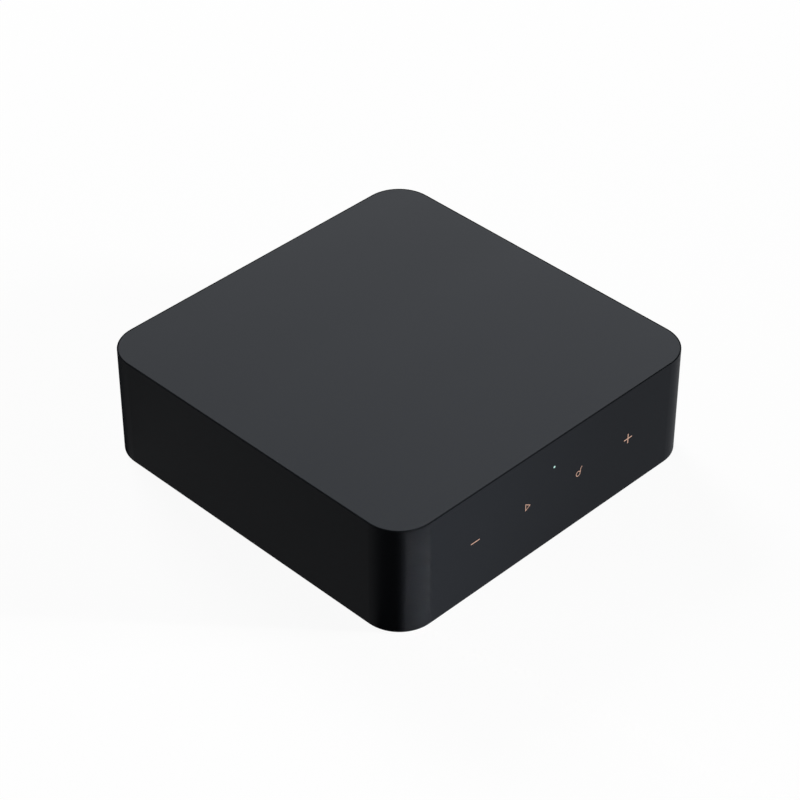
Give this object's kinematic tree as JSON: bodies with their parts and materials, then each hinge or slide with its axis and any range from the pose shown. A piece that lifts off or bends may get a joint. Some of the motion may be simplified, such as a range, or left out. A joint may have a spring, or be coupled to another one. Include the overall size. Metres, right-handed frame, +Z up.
{
  "type": "network music streamer",
  "caption": "Low square desktop audio streamer with a satin top, touch marks on the front wall and a rear panel of power, network, optical and phono sockets.",
  "frame": {"origin": "middle of the case's footprint, on the underside of the foot pad", "axes": "+Z up, -Y towards the front wall with the touch marks, +X to the right seen from the front"},
  "size_m": [0.14, 0.149, 0.042],
  "materials": {
    "case_black": "smooth, low gloss",
    "top_satin": "fine satin",
    "base_black": "fine texture",
    "panel_black": "fine texture",
    "pad_rubber": "matte",
    "screw_steel": "zinc",
    "mark_copper": "satin copper ink",
    "light_lens": "clear",
    "led_white": "gloss",
    "board_green": "solder mask",
    "tape_white": "foam",
    "connector_white": "moulded",
    "ribbon_white": "film",
    "tin": "bright tin plate",
    "heat_pad": "soft silicone",
    "aluminium": "extruded",
    "chip_black": "moulded epoxy",
    "antenna_copper": "bare copper on film",
    "lead_black": "smooth jacket",
    "gold": "gold plate",
    "socket_black": "moulded",
    "shutter_black": "moulded",
    "spring_steel": "spring wire",
    "emitter_red": "tinted epoxy",
    "detector_dark": "tinted epoxy",
    "jack_orange": "moulded",
    "jack_white": "moulded",
    "jack_red": "moulded"
  },
  "bodies": {
    "case": {"body_shell": "case_black", "top_cover": "top_satin", "base_cover": "base_black", "rear_panel": "panel_black", "foot_pad": "pad_rubber", "base_screws": "screw_steel", "board_screws": "screw_steel", "minus_mark": "mark_copper", "play_mark": "mark_copper", "preset_mark": "mark_copper", "plus_mark": "mark_copper", "light_pipe": "light_lens", "status_led": "led_white", "touch_board": "board_green", "touch_board_tape": "tape_white", "touch_board_connector": "connector_white", "ribbon": "ribbon_white", "main_board_connector": "connector_white", "main_board": "board_green", "module_board": "board_green", "module_shield": "tin", "heat_pad": "heat_pad", "heat_sink": "aluminium", "converter_chips": "chip_black", "clock_oscillators": "tin", "ethernet_transformer": "chip_black", "power_inductors": "chip_black", "filter_capacitors": "aluminium", "antenna_left": "antenna_copper", "antenna_right": "antenna_copper", "antenna_left_lead": "lead_black", "antenna_right_lead": "lead_black", "antenna_plugs": "gold", "power_socket_shell": "tin", "power_socket_tongue": "socket_black", "ethernet_shield": "tin", "ethernet_insert": "socket_black", "ethernet_contacts": "gold", "trigger_jack_body": "socket_black", "trigger_jack_contacts": "tin", "optical_out_housing": "socket_black", "optical_out_pin": "spring_steel", "optical_out_spring": "spring_steel", "optical_out_emitter": "emitter_red", "optical_in_housing": "socket_black", "optical_in_pin": "spring_steel", "optical_in_spring": "spring_steel", "optical_in_detector": "detector_dark", "coax_jack_housing": "socket_black", "line_in_housing": "socket_black", "line_out_housing": "socket_black", "coax_barrel": "gold", "line_barrels": "gold", "coax_insulator": "jack_orange", "left_insulators": "jack_white", "right_insulators": "jack_red", "phono_contacts": "gold"},
    "optical_out_shutter": {"optical_out_shutter": "shutter_black"},
    "optical_in_shutter": {"optical_in_shutter": "shutter_black"}
  },
  "joints": [
    {"name": "optical_out_shutter_hinge", "type": "hinge", "parent": "case", "child": "optical_out_shutter", "pos_m": [0.00643, 0.06815, 0.0174], "axis": [-1, 0, 0], "range_deg": [0, 90], "stiffness_Nm_per_rad": 0.0004, "springref_deg": -22.92, "deforming": ["optical_out_spring"]},
    {"name": "optical_in_shutter_hinge", "type": "hinge", "parent": "case", "child": "optical_in_shutter", "pos_m": [-0.00577, 0.06815, 0.0174], "axis": [-1, 0, 0], "range_deg": [0, 90], "stiffness_Nm_per_rad": 0.0004, "springref_deg": -22.92, "deforming": ["optical_in_spring"]}
  ]
}
